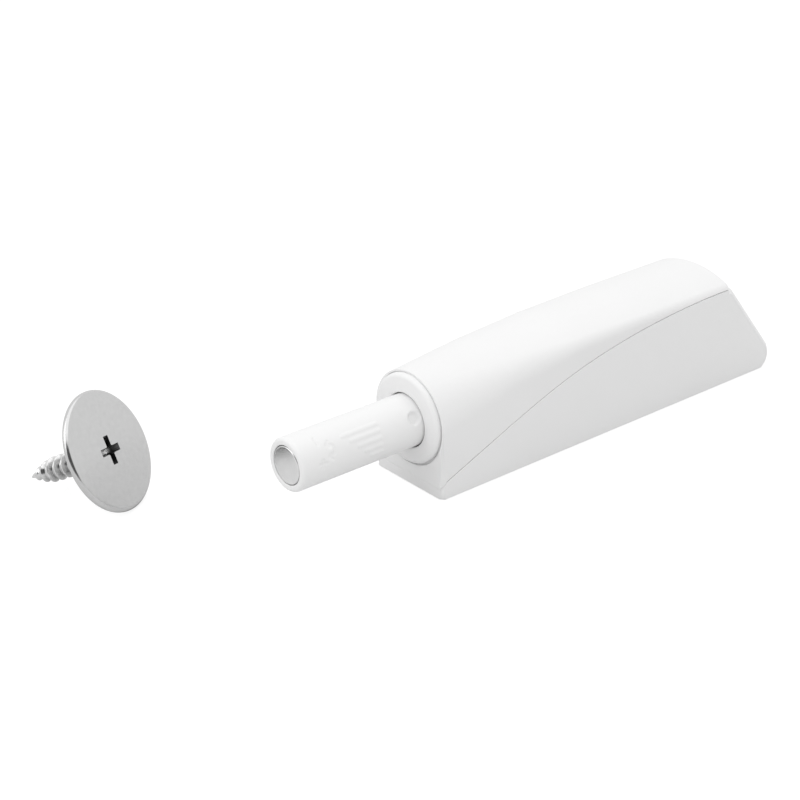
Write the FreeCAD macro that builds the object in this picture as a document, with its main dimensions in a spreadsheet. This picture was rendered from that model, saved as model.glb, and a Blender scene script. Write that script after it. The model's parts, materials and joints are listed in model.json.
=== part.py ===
import FreeCAD, Part
import math
import os

import Sketcher

Vector = FreeCAD.Vector

# Magnetic push latch for a cupboard door: a two-part housing that holds a sprung,
# magnet-tipped plunger, and the screw-in strike plate that the magnet holds.
# Millimetres. X runs along the plunger and away from the door, and Z is up from the
# mounting face. Places along X are counted from the housing's front face, and each
# piece is then moved back so that the origin is midway between the two base screws.

doc = FreeCAD.newDocument("push_latch")
sheet = doc.addObject("Spreadsheet::Sheet", "Sizes")

SIZES = {
    # Plunger, drawn fully out, and the cartridge barrel that it slides in
    "plunger_radius": 3.9,
    "plunger_reach": 21.9,
    "plunger_chamfer": 0.45,
    "bore_step": 0.7,
    "barrel_wall": 0.65,
    "barrel_setback": 3.9,
    "flange_step": 1.35,
    "flange_proud": 0.8,
    "flange_seat": 0.95,
    "flange_clearance": 0.35,
    "flange_round": 0.7,
    "flange_bevel": 0.2,
    "collar_clearance": 0.3,
    "collar_depth": 2.4,
    # Housing
    "barrel_gap": 0.5,
    "barrel_lift": 4.95,
    "wall": 1.5,
    "front_wall": 2.3,
    "floor": 1.5,
    "joint_gap": 0.12,
    "corner_chamfer": 0.75,
    "arch_edge_chamfer": 0.1,
    # Cover: a round arch at the front that flattens into a shallow crown at the rear
    "cover_length": 58.9,
    "rear_rise": 2.3,
    "rear_crown_radius": 16.3,
    "rear_shoulder_radius": 1.4,
    "arch_end": 40.0,
    "arch_strips": 3.0,
    "arch_split": 0.05,
    # Parting line between base and cover: places along it and the rise from one to the next
    "lip_gap": 2.05,
    "seam_start": 0.9,
    "seam_start_rise": 1.2,
    "seam_low": 9.9,
    "seam_low_rise": 3.65,
    "seam_middle": 24.3,
    "seam_middle_rise": 5.3,
    "seam_high": 40.0,
    "seam_high_rise": 3.25,
    "seam_end_rise": 1.15,
    # Rear end of the base
    "slope_angle": 50.8,
    "nose_radius": 3.0,
    "nose_height": 2.1,
    "brow_radius": 1.2,
    "brow_flat": 0.38,
    "tail_chamfer": 0.7,
    # Base screws
    "screw_spacing": 32.0,
    "first_screw": 16.0,
    "screw_hole_radius": 2.1,
    "screw_head_radius": 4.0,
    "screw_boss_radius": 4.9,
    "screw_boss_clearance": 1.65,
    # Ribs and snap tongues inside the housing
    "rib_thickness": 1.5,
    "saddle_clearance": 0.05,
    "saddle_front": 9.0,
    "saddle_middle": 31.0,
    "saddle_inset": 4.0,
    "tongue_width": 4.0,
    "tongue_thickness": 0.75,
    "tongue_reach": 2.6,
    "tongue_front": 6.5,
    "tongue_rear": 44.0,
    "catch_depth": 0.3,
    "catch_height": 0.8,
    # Inside of the plunger sleeve
    "sleeve_end": 4.0,
    "sleeve_wall": 1.0,
    "thread_clearance": 0.08,
    "thread_end": 4.0,
    "web_thickness": 1.7,
    "tip_wall": 0.9,
    "pocket_depth": 5.7,
    # Grip ribs and witness dimple on the sleeve
    "grip_count": 5.0,
    "grip_step": 15.2,
    "grip_first": 131.0,
    "grip_end": 8.0,
    "grip_length": 6.6,
    "grip_shortening": 1.05,
    "grip_height": 0.12,
    "grip_width": 0.5,
    "dimple_radius": 1.05,
    "dimple_depth": 0.5,
    "dimple_place": 1.95,
    "dimple_angle": 149.0,
    # Magnet set
    "cup_fit": 0.2,
    "cup_inset": 0.05,
    "cup_edge": 0.25,
    "cup_wall": 0.3,
    "cup_floor": 0.5,
    "cup_clearance": 0.05,
    "magnet_fit": 0.2,
    "plate_fit": 0.1,
    "plate_thickness": 0.5,
    # Latch slider
    "travel": 19.0,
    "travel_room": 0.5,
    "slide_fit": 0.05,
    "sleeve_overlap": 1.4,
    "recess_clearance": 0.1,
    "recess_room": 2.8,
    "stem_radius": 2.0,
    "stem_room": 2.5,
    "spring_seat": 9.0,
    "track_web": 0.55,
    "track_depth": 0.5,
    "track_flat_start": 8.2,
    "track_start": 9.1,
    "track_margin": 1.8,
    "track_half_width": 1.75,
    # Heart-shaped island in the slider's track
    "island_front": 10.8,
    "island_half_width": 0.8,
    "island_tip_length": 2.1,
    "island_clearance": 1.5,
    "notch_depth": 0.5,
    "notch_radius": 0.36,
    # Follower wire
    "wire_radius": 0.3,
    "wire_lift": 0.1,
    "wire_bend": 0.35,
    "wire_offset": 1.3,
    "wire_inset": 2.7,
    "wire_pivot_depth": 1.5,
    "wire_play": 0.05,
    # End cap with its spring guide
    "cap_fit": 0.05,
    "cap_depth": 4.0,
    "cap_flange": 1.0,
    "cap_slot": 2.6,
    "pivot_inset": 1.3,
    "guide_clearance": 0.27,
    "guide_overlap": 3.0,
    # Main spring
    "spring_radius": 1.85,
    "spring_wire": 0.28,
    "spring_clearance": 0.22,
    "spring_turns": 10.0,
    "spring_steps": 8.0,
    "spring_sides": 6.0,
    # Strike plate with its wood screw
    "strike_radius": 8.8,
    "strike_thickness": 1.1,
    "strike_chamfer": 0.35,
    "strike_length": 15.0,
    "strike_ahead": 35.4,
    "strike_aside": 22.3,
    "strike_turn": 62.2,
    "strike_lean": 28.3,
    "shank_radius": 1.45,
    "shank_point": 3.3,
    "shank_root_radius": 2.1,
    "shank_root_length": 0.8,
    "recess_span": 4.3,
    "recess_width": 0.9,
    "recess_depth": 1.1,
    "recess_turn": -10.0,
}

# Sizes that follow from the ones above, so that mating pieces change together
FITTED = {
    "barrel_bore": "plunger_radius + bore_step",
    "barrel_radius": "barrel_bore + barrel_wall",
    "barrel_end": "cover_length - barrel_setback",
    "flange_radius": "barrel_radius + flange_step",
    "collar_hole": "plunger_radius + collar_clearance",
    "axis_height": "barrel_lift + barrel_radius",
    "housing_width": "2 * (barrel_radius + barrel_gap + wall)",
    "lip_height": "axis_height - flange_radius - lip_gap",
    "seam_start_height": "lip_height + seam_start_rise",
    "seam_low_height": "seam_start_height + seam_low_rise",
    "seam_middle_height": "seam_low_height + seam_middle_rise",
    "seam_high_height": "seam_middle_height + seam_high_rise",
    "seam_end_height": "seam_high_height + seam_end_rise",
    "rear_height": "seam_end_height + rear_rise",
    "screw_boss_height": "barrel_lift - screw_boss_clearance",
    "saddle_rear": "barrel_end - saddle_inset",
    "pocket_radius": "plunger_radius - tip_wall",
    "relief_bore": "plunger_radius - sleeve_wall",
    "thread_bore": "stem_radius + thread_clearance",
    "web_place": "plunger_reach - pocket_depth - web_thickness",
    "cup_radius": "pocket_radius - cup_fit",
    "magnet_radius": "cup_radius - cup_wall - magnet_fit",
    "plate_radius": "cup_radius - cup_wall - plate_fit",
    "magnet_start": "cup_inset + cup_floor - plunger_reach",
    "cup_mouth": "pocket_depth - cup_clearance - plunger_reach",
    "magnet_end": "cup_mouth - plate_thickness",
    "cap_radius": "barrel_bore - cap_fit",
    "cap_start": "barrel_end - cap_depth",
    "slider_radius": "barrel_bore - slide_fit",
    "slider_start": "sleeve_end - sleeve_overlap",
    "slider_end": "cap_start - travel - travel_room",
    "slider_recess": "plunger_radius + recess_clearance",
    "slider_recess_end": "sleeve_end + recess_room",
    "stem_reach": "web_place - stem_room",
    "spring_bore": "spring_radius + spring_wire + spring_clearance",
    "track_floor": "spring_bore + track_web",
    "track_flat": "track_floor + track_depth",
    "track_end": "slider_end - track_margin",
    "wire_tip": "slider_end - wire_inset",
    "wire_pivot": "cap_start + pivot_inset",
    "island_end": "wire_tip - island_clearance",
    "island_taper": "island_end - island_tip_length",
    "notch_place": "island_front + notch_depth",
    "guide_radius": "spring_radius - spring_wire - guide_clearance",
    "guide_tip": "slider_end - guide_overlap",
}

CELLS = list(SIZES.items()) + [(alias, "=" + sum_text) for alias, sum_text in FITTED.items()]
for row, (alias, content) in enumerate(CELLS, start=1):
    sheet.set("A%d" % row, alias)
    sheet.setAlias("B%d" % row, alias)
for row, (alias, content) in enumerate(CELLS, start=1):
    sheet.set("B%d" % row, str(content))
doc.recompute()


def size(alias):
    """One dimension, read from the sheet."""
    return float(sheet.get(alias))


def amount(text):
    """The value of a sum of dimensions such as 'barrel_end - cap_flange'."""
    total, sign = 0.0, 1.0
    for word in text.split():
        if word in "+-":
            sign = 1.0 if word == "+" else -1.0
        else:
            total += sign * (0.0 if word == "0" else size(word))
    return total


def formula(text):
    """The same sum, written as an expression on the sheet."""
    return " ".join(word if word in ("+", "-", "0") else "Sizes." + word for word in text.split())


def bind(thing, prop, text):
    thing.setExpression(prop, formula(text))


# Pieces and their places

PIECES = []


def new_body(name, on_axis=True):
    """An empty body for one piece. On the axis, its own z = 0 is the plunger's axis."""
    body = doc.addObject("PartDesign::Body", name)
    body.Label = name
    set_down(body, on_axis)
    return body


def set_down(piece, on_axis=True):
    """Puts a piece in the part's frame and keeps it for the hand-over."""
    height = size("axis_height") if on_axis else 0.0
    back = size("first_screw") + size("screw_spacing") / 2
    piece.Placement = FreeCAD.Placement(Vector(-back, 0, height), FreeCAD.Rotation())
    piece.setExpression("Placement.Base.x", "-(Sizes.first_screw + Sizes.screw_spacing / 2)")
    if on_axis:
        piece.setExpression("Placement.Base.z", "Sizes.axis_height")
    PIECES.append(piece)


def sketch_on(body, role, name, offset=None):
    """A sketch on one of the body's own origin planes, moved along its normal."""
    sketch = body.newObject("Sketcher::SketchObject", name)
    plane = next(item for item in body.Origin.OriginFeatures if item.Role == role)
    sketch.AttachmentSupport = (plane, [""])
    sketch.MapMode = "FlatFace"
    if offset:
        sketch.AttachmentOffset = FreeCAD.Placement(Vector(0, 0, amount(offset)), FreeCAD.Rotation())
        sketch.setExpression("AttachmentOffset.Base.z", formula(offset))
    return sketch


def face_outward(sketch, angle, distance):
    """Turns a sketch on the XY plane to face out of the axis, angle degrees up from +Y."""
    turn = FreeCAD.Rotation(Vector(1, 0, 0), angle - 90.0)
    outward = turn.multVec(Vector(0, 0, 1))
    sketch.AttachmentOffset = FreeCAD.Placement(outward * distance, turn)


def tie(sketch, kind, index, text):
    """Ties one corner of a sketch to the sheet, along one axis."""
    value = amount(text)
    if abs(value) < 1e-9:
        axis = -2 if kind == "DistanceX" else -1
        sketch.addConstraint(Sketcher.Constraint("PointOnObject", index, 1, axis))
        return
    number = sketch.addConstraint(Sketcher.Constraint(kind, -1, 1, index, 1, value))
    sketch.setExpression("Constraints[%d]" % number, formula(text))


def polygon(sketch, corners):
    """A closed outline whose corners are pairs of sums on the sheet."""
    points = [Vector(amount(across), amount(up), 0) for across, up in corners]
    count = len(points)
    first = sketch.GeometryCount
    for index in range(count):
        sketch.addGeometry(Part.LineSegment(points[index], points[(index + 1) % count]), False)
    for index in range(count):
        follower = first + (index + 1) % count
        sketch.addConstraint(Sketcher.Constraint("Coincident", first + index, 2, follower, 1))
    for index, (across, up) in enumerate(corners):
        tie(sketch, "DistanceX", first + index, across)
        tie(sketch, "DistanceY", first + index, up)


def circle(sketch, across, up, radius):
    """A full circle, with its centre and radius tied to the sheet."""
    centre = Vector(amount(across), amount(up), 0)
    index = sketch.addGeometry(Part.Circle(centre, Vector(0, 0, 1), amount(radius)), False)
    number = sketch.addConstraint(Sketcher.Constraint("Radius", index, amount(radius)))
    sketch.setExpression("Constraints[%d]" % number, formula(radius))
    for kind, text, axis in (("DistanceX", across, -2), ("DistanceY", up, -1)):
        if abs(amount(text)) < 1e-9:
            sketch.addConstraint(Sketcher.Constraint("PointOnObject", index, 3, axis))
        else:
            place = sketch.addConstraint(Sketcher.Constraint(kind, -1, 1, index, 3, amount(text)))
            sketch.setExpression("Constraints[%d]" % place, formula(text))


def turned(name, profile):
    """A turned piece: its half section, as (x, radius) corners, is revolved about the axis."""
    body = new_body(name)
    sketch = sketch_on(body, "XZ_Plane", name + "_section")
    polygon(sketch, profile)
    turn = body.newObject("PartDesign::Revolution", name + "_turned")
    turn.Profile = sketch
    turn.ReferenceAxis = (sketch, ["H_Axis"])
    turn.Angle = 360.0
    doc.recompute()
    return body


def cut_pad(body, sketch, name, length, reverse=False, middle=False):
    """A pocket whose direction and depth are set, checked against the volume before it."""
    before = body.Shape.Volume
    pocket = body.newObject("PartDesign::Pocket", name)
    pocket.Profile = sketch
    pocket.Type = "Length"
    pocket.Length = amount(length)
    bind(pocket, "Length", length)
    pocket.Reversed = reverse
    pocket.Midplane = middle
    doc.recompute()
    if body.Shape.Volume > before - 1e-6:
        raise ValueError(name + " cuts nothing")
    return pocket


# Housing shapes that base and cover share


def blend(place):
    """How far the section has gone from the front arch, 0, to the rear crown, 1."""
    left = 1.0 - min(place / size("arch_end"), 1.0)
    return 1.0 - left ** 2


def arch_section(place):
    """The closed section at one place: two sides, two shoulder arcs and a crown arc."""
    half = size("housing_width") / 2
    share = blend(place)
    front_top = size("axis_height") + half
    top = front_top + share * (size("rear_height") - front_top)
    round_shoulder = half - size("arch_split")
    round_crown = half + size("arch_split")
    shoulder = round_shoulder + share * (size("rear_shoulder_radius") - round_shoulder)
    crown = round_crown + share * (size("rear_crown_radius") - round_crown)
    reach_across = half - shoulder
    centre_height = top - crown
    shoulder_height = centre_height + math.sqrt((crown - shoulder) ** 2 - reach_across ** 2)
    lean = math.atan2(shoulder_height - centre_height, reach_across)

    def shoulder_point(angle, side):
        across = reach_across + shoulder * math.cos(angle)
        return Vector(place, side * across, shoulder_height + shoulder * math.sin(angle))

    foot_left = Vector(place, -half, 0)
    foot_right = Vector(place, half, 0)
    left = [shoulder_point(angle, -1) for angle in (0.0, lean / 2, lean)]
    right = [shoulder_point(angle, 1) for angle in (0.0, lean / 2, lean)]
    summit = Vector(place, 0, centre_height + crown)
    edges = [
        Part.LineSegment(foot_left, left[0]).toShape(),
        Part.Arc(left[0], left[1], left[2]).toShape(),
        Part.Arc(left[2], summit, right[2]).toShape(),
        Part.Arc(right[2], right[1], right[0]).toShape(),
        Part.LineSegment(right[0], foot_right).toShape(),
        Part.LineSegment(foot_right, foot_left).toShape(),
    ]
    return Part.Wire(edges)


def arch_solid():
    """The cover's outside: straight strips while the arch flattens, then one section to the rear."""
    strips = int(size("arch_strips"))
    places = [size("arch_end") * number / strips for number in range(strips + 1)]
    places.append(size("cover_length"))
    return Part.makeLoft([arch_section(place) for place in places], True, True)


def arch_room():
    """The room inside the cover: a plain arch around the barrel, open below and at the rear."""
    half = size("housing_width") / 2 - size("wall")
    axis = size("axis_height")
    low = -size("wall")
    start = size("front_wall")
    left, right = Vector(start, -half, axis), Vector(start, half, axis)
    foot_left, foot_right = Vector(start, -half, low), Vector(start, half, low)
    outline = Part.Wire([
        Part.LineSegment(foot_left, left).toShape(),
        Part.Arc(left, Vector(start, 0, axis + half), right).toShape(),
        Part.LineSegment(right, foot_right).toShape(),
        Part.LineSegment(foot_right, foot_left).toShape(),
    ])
    return Part.Face(outline).extrude(Vector(size("cover_length"), 0, 0))


def seam_edges(lift, end):
    """The parting line seen from the side, raised by lift, from the front face to end."""
    start = Vector(0, 0, size("lip_height") + lift)
    turn = Vector(size("seam_start"), 0, size("seam_start_height") + lift)
    through = [turn]
    for name in ("seam_low", "seam_middle", "seam_high"):
        through.append(Vector(size(name), 0, size(name + "_height") + lift))
    through.append(Vector(end, 0, size("seam_end_height") + lift))
    curve = Part.BSplineCurve()
    curve.interpolate(through)
    return start, curve, through[-1]


def seam_height(place):
    """Height of the parting line at one place along the side."""
    start, curve, last = seam_edges(0.0, size("cover_length"))
    parameter = curve.parameter(Vector(place, 0, axis_at_seam(place)))
    return curve.value(parameter).z


def axis_at_seam(place):
    """A rough height near the parting line, to look the place up on its curve."""
    share = min(max(place / size("cover_length"), 0.0), 1.0)
    rise = size("seam_end_height") - size("lip_height")
    return size("lip_height") + rise * (1.0 - (1.0 - share) ** 2)


def prism(edges, width):
    """A side outline in the XZ plane, extruded equally to both sides."""
    face = Part.Face(Part.Wire(Part.__sortEdges__(edges)))
    face.translate(Vector(0, -width / 2, 0))
    return face.extrude(Vector(0, width, 0))


def corner_cutters():
    """What the chamfers take off the upright front corners, fading out where the arch begins."""
    half = size("housing_width") / 2
    out = size("wall")

    def outline(chamfer, height):
        corners = [Vector(chamfer, half, height), Vector(chamfer, half + out, height),
                   Vector(-out, half + out, height), Vector(-out, half - chamfer, height),
                   Vector(0, half - chamfer, height)]
        return Part.makePolygon(corners + corners[:1])

    low = outline(size("corner_chamfer"), -out)
    high = outline(size("arch_edge_chamfer"), size("axis_height"))
    right = Part.makeLoft([low, high], True, True)
    return right, right.mirror(Vector(0, 0, 0), Vector(0, 1, 0))


def axis_cylinder(radius, start, end):
    """A plain cylinder on the plunger's axis, in the housing's frame."""
    foot = Vector(start, 0, size("axis_height"))
    return Part.makeCylinder(radius, end - start, foot, Vector(1, 0, 0))


def cross_rib(place, bottom, top):
    """A plate across the housing, standing on the axis side of place."""
    width = size("housing_width")
    corner = Vector(place, -width / 2, bottom)
    return Part.makeBox(size("rib_thickness"), width, top - bottom, corner)


def tongue(place, side, grow):
    """One snap tongue with its catch ridge. Grown a little, it is the room it needs."""
    inner = size("housing_width") / 2 - size("wall")
    face = inner - size("joint_gap")
    height = seam_height(place)
    foot = height - size("tongue_reach")
    width = size("tongue_width")
    thick = size("tongue_thickness")
    root = height + 2 * size("tongue_thickness")
    blade = Part.makeBox(width + 2 * grow, thick, root - foot,
                         Vector(place - width / 2 - grow, face - thick, foot))
    ridge_low = foot + size("catch_height") / 2
    middle = ridge_low + size("catch_height") / 2
    out = face + size("catch_depth") + grow
    ridge_points = [
        Vector(place - width / 2 - grow, face - thick / 2, ridge_low - grow),
        Vector(place - width / 2 - grow, face, ridge_low - grow),
        Vector(place - width / 2 - grow, out, middle),
        Vector(place - width / 2 - grow, face, middle + size("catch_height") / 2 + grow),
        Vector(place - width / 2 - grow, face - thick / 2, middle + size("catch_height") / 2 + grow),
    ]
    loop = Part.makePolygon(ridge_points + ridge_points[:1])
    ridge = Part.Face(loop).extrude(Vector(width + 2 * grow, 0, 0))
    shape = blade.fuse(ridge)
    if grow == 0.0:
        shoulder = height + size("joint_gap") + size("tongue_thickness")
        rooted = Part.makeBox(width, thick + size("joint_gap") + size("wall") / 2, root - shoulder,
                              Vector(place - width / 2, face - thick, shoulder))
        shape = shape.fuse(rooted)
    if side < 0:
        shape = shape.mirror(Vector(0, 0, 0), Vector(0, 1, 0))
    return shape


def tongue_places():
    return [(size(name), side) for name in ("tongue_front", "tongue_rear") for side in (-1, 1)]


def base():
    """Lower half: floor, low side walls up to the parting line, sloped tail and saddles."""
    width = size("housing_width")
    wall = size("wall")
    slope = math.radians(size("slope_angle"))
    brow = size("brow_radius") * math.tan(slope / 2)
    slope_high = math.pi / 2 - slope
    crest_x = size("cover_length") + size("brow_flat") + brow
    foot_height = size("nose_height") + size("nose_radius") * math.sin(slope_high)
    foot_x = crest_x + (size("seam_end_height") - foot_height) / math.tan(slope)
    nose_x = foot_x - size("nose_radius") * math.cos(slope_high)
    length = nose_x + size("nose_radius")

    def tail(inset, bottom, top):
        """Nose arc and slope, seen from the side."""
        radius = size("nose_radius") - inset
        centre = Vector(nose_x, 0, size("nose_height"))
        low = math.asin(max(-1.0, (bottom - centre.z) / radius))

        def on_nose(angle):
            return centre + Vector(radius * math.cos(angle), 0, radius * math.sin(angle))
        nose = Part.Arc(on_nose(low), on_nose((low + slope_high) / 2), on_nose(slope_high))
        foot = on_nose(slope_high)
        climb = (top - foot.z) / math.sin(slope)
        crest = foot + Vector(-climb * math.cos(slope), 0, climb * math.sin(slope))
        return on_nose(low), nose, foot, crest

    heel, nose, foot, crest = tail(0.0, 0.0, size("seam_end_height"))
    before = Vector(crest.x - brow, 0, crest.z)
    after = crest + Vector(brow * math.cos(slope), 0, -brow * math.sin(slope))
    brow_centre = before - Vector(0, 0, size("brow_radius"))
    half_way = math.pi / 2 - slope / 2
    brow_middle = brow_centre + Vector(math.cos(half_way), 0, math.sin(half_way)) * size("brow_radius")
    start, seam, seam_last = seam_edges(0.0, size("cover_length"))
    turn = Vector(size("seam_start"), 0, size("seam_start_height"))
    origin = Vector(0, 0, 0)
    join = Vector(size("cover_length"), 0, 0)
    under = Vector(nose_x, 0, size("nose_height") - size("nose_radius"))
    join_under = Vector(join.x, 0, under.z)
    tail_outline = [
        Part.LineSegment(join_under, under).toShape(),
        Part.Arc(under, heel, foot).toShape(),
        Part.LineSegment(foot, after).toShape(),
        Part.Arc(after, brow_middle, before).toShape(),
        Part.LineSegment(before, seam_last).toShape(),
        Part.LineSegment(seam_last, join_under).toShape(),
    ]
    tub_outline = [
        Part.LineSegment(origin, join).toShape(),
        Part.LineSegment(join, seam_last).toShape(),
        seam.toShape(),
        Part.LineSegment(turn, start).toShape(),
        Part.LineSegment(start, origin).toShape(),
    ]
    tail_end = prism(tail_outline, width)
    soft_edges = []
    for edge in tail_end.Edges:
        middle = edge.valueAt((edge.FirstParameter + edge.LastParameter) / 2)
        on_side = abs(abs(middle.y) - width / 2) < 1e-6
        if on_side and middle.x > join.x + 1e-6:
            soft_edges.append(edge)
    tail_end = tail_end.makeChamfer(size("tail_chamfer"), soft_edges)
    tail_end = tail_end.common(Part.makeBox(length, width, length, Vector(0, -width / 2, 0)))
    tub = prism(tub_outline, width)
    for cutter in corner_cutters():
        tub = tub.cut(cutter)
    solid = tub.fuse(tail_end)
    below_seam = solid

    # Hollow inside, open at the top
    roof = size("seam_end_height") + wall
    inner_heel, inner_nose, inner_foot, inner_crest = tail(wall, size("floor"), roof)
    front = size("front_wall")
    hollow = [
        Part.LineSegment(Vector(front, 0, size("floor")), inner_heel).toShape(),
        inner_nose.toShape(),
        Part.LineSegment(inner_foot, inner_crest).toShape(),
        Part.LineSegment(inner_crest, Vector(front, 0, roof)).toShape(),
        Part.LineSegment(Vector(front, 0, roof), Vector(front, 0, size("floor"))).toShape(),
    ]
    room = prism(hollow, width - 2 * wall)
    roof_wall = Part.makeBox(length, width, wall, Vector(size("cover_length"), -width / 2,
                                                         size("seam_end_height") - wall))
    solid = solid.cut(room.cut(roof_wall))

    # Saddles that carry the barrel, and the rib that takes its push
    seat = axis_cylinder(size("barrel_radius") + size("saddle_clearance"), 0, length)
    for name in ("saddle_front", "saddle_middle", "saddle_rear"):
        low = cross_rib(size(name), 0, size("axis_height") - size("barrel_radius") / 3)
        solid = solid.fuse(low.common(below_seam).cut(seat))
    stop = cross_rib(size("barrel_end") + size("cap_flange") + size("joint_gap"), 0,
                     size("axis_height") + size("barrel_radius") / 2)
    solid = solid.fuse(stop.common(below_seam))

    # Screw bosses, with countersunk holes from above
    for place in (size("first_screw"), size("first_screw") + size("screw_spacing")):
        foot_point = Vector(place, 0, 0)
        height = size("screw_boss_height")
        solid = solid.fuse(Part.makeCylinder(size("screw_boss_radius"), height, foot_point))
        sink = size("screw_head_radius") - size("screw_hole_radius")
        cone = Part.makeCone(size("screw_hole_radius"), size("screw_head_radius"), sink,
                             Vector(place, 0, height - sink))
        solid = solid.cut(Part.makeCylinder(size("screw_hole_radius"), height, foot_point))
        solid = solid.cut(cone)

    # Grooves that the cover's snap tongues click into
    for place, side in tongue_places():
        solid = solid.cut(tongue(place, side, size("joint_gap")))
    return solid.removeSplitter()


def cover():
    """Upper half: arched shell with the front wall that seats the cartridge's flange."""
    width = size("housing_width")
    end = size("cover_length")
    gap = size("joint_gap")
    tall = 2 * size("rear_height")
    start, seam, seam_last = seam_edges(gap, end)
    turn = Vector(size("seam_start"), 0, size("seam_start_height") + gap)
    above = prism([
        Part.LineSegment(start, turn).toShape(),
        seam.toShape(),
        Part.LineSegment(seam_last, Vector(end, 0, tall)).toShape(),
        Part.LineSegment(Vector(end, 0, tall), Vector(0, 0, tall)).toShape(),
        Part.LineSegment(Vector(0, 0, tall), start).toShape(),
    ], 2 * width)
    solid = arch_solid().common(above)
    for cutter in corner_cutters():
        solid = solid.cut(cutter)
    room = arch_room()
    solid = solid.cut(room)

    # Ribs that hold the barrel down, and the snap tongues
    barrel_room = axis_cylinder(size("barrel_radius") + size("saddle_clearance"), 0, end)
    upper = above.common(room)
    for name in ("saddle_front", "saddle_middle", "saddle_rear"):
        place = size(name) + 2 * size("rib_thickness")
        rib = cross_rib(place, size("axis_height") + size("barrel_radius") / 2, tall)
        solid = solid.fuse(rib.common(upper).cut(barrel_room))
    for place, side in tongue_places():
        solid = solid.fuse(tongue(place, side, 0.0))

    # Barrel hole and the flange's counterbore
    hole = size("barrel_radius") + size("saddle_clearance")
    solid = solid.cut(axis_cylinder(hole, -1.0, size("front_wall") + 1.0))
    seat = size("flange_radius") + size("flange_clearance")
    solid = solid.cut(axis_cylinder(seat, -1.0, size("flange_seat")))
    return solid.removeSplitter()


def cartridge_barrel():
    """Drill-in sleeve: a rounded flange with the collar hole, and a long thin barrel."""
    front = "- flange_proud"
    return turned("cartridge_barrel", [
        ("flange_seat", "flange_radius"),
        (front + " + flange_round", "flange_radius"),
        (front + " + flange_bevel", "flange_radius - flange_bevel"),
        (front, "flange_radius - flange_round"),
        (front, "collar_hole"),
        ("collar_depth", "collar_hole"),
        ("collar_depth", "barrel_bore"),
        ("barrel_end", "barrel_bore"),
        ("barrel_end", "barrel_radius"),
        ("flange_seat", "barrel_radius"),
    ])


def plunger_sleeve():
    """The moving tip: turned tube with a magnet pocket, a thread bore, grips and a dimple."""
    tip = "- plunger_reach"
    body = turned("plunger_sleeve", [
        (tip, "pocket_radius"),
        (tip, "plunger_radius - plunger_chamfer"),
        (tip + " + plunger_chamfer", "plunger_radius"),
        ("sleeve_end", "plunger_radius"),
        ("sleeve_end", "relief_bore"),
        ("- thread_end", "relief_bore"),
        ("- thread_end", "thread_bore"),
        ("- web_place", "thread_bore"),
        ("- web_place", "0"),
        ("- plunger_reach + pocket_depth", "0"),
        ("- plunger_reach + pocket_depth", "pocket_radius"),
    ])

    # Shallow round dimple beside the collar
    dimple = sketch_on(body, "XY_Plane", "dimple_outline")
    face_outward(dimple, size("dimple_angle"), size("plunger_radius"))
    circle(dimple, "- dimple_place", "0", "dimple_radius")
    cut_pad(body, dimple, "dimple", "dimple_depth")

    # Fine grip ribs, each a little shorter than the one above it
    half = size("grip_width") / 2
    end = -size("grip_end")
    for number in range(int(size("grip_count"))):
        length = size("grip_length") - number * size("grip_shortening")
        grip = sketch_on(body, "XY_Plane", "grip_outline_%d" % (number + 1))
        face_outward(grip, size("grip_first") + number * size("grip_step"), size("relief_bore"))
        corners = [Vector(end, -half, 0), Vector(end, half, 0),
                   Vector(end - length, half, 0), Vector(end - length, -half, 0)]
        for first, second in zip(corners, corners[1:] + corners[:1]):
            grip.addGeometry(Part.LineSegment(first, second), False)
        raised = body.newObject("PartDesign::Pad", "grip_%d" % (number + 1))
        raised.Profile = grip
        raised.Length = amount("plunger_radius + grip_height - relief_bore")
        bind(raised, "Length", "plunger_radius + grip_height - relief_bore")
    doc.recompute()
    return body


def pole_cup():
    """Drawn steel cap: its closed end is the tip's face, and its mouth is near the pocket's floor."""
    face = "- plunger_reach + cup_inset"
    return turned("pole_cup", [
        (face, "0"),
        (face, "cup_radius - cup_edge"),
        (face + " + cup_edge", "cup_radius"),
        ("cup_mouth", "cup_radius"),
        ("cup_mouth", "cup_radius - cup_wall"),
        ("magnet_start", "cup_radius - cup_wall"),
        ("magnet_start", "0"),
    ])


def magnet():
    return turned("magnet", [
        ("magnet_start", "0"),
        ("magnet_start", "magnet_radius"),
        ("magnet_end", "magnet_radius"),
        ("magnet_end", "0"),
    ])


def pole_plate():
    """Steel disc that closes the cap behind the magnet."""
    return turned("pole_plate", [
        ("magnet_end", "0"),
        ("magnet_end", "plate_radius"),
        ("cup_mouth", "plate_radius"),
        ("cup_mouth", "0"),
    ])


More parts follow.
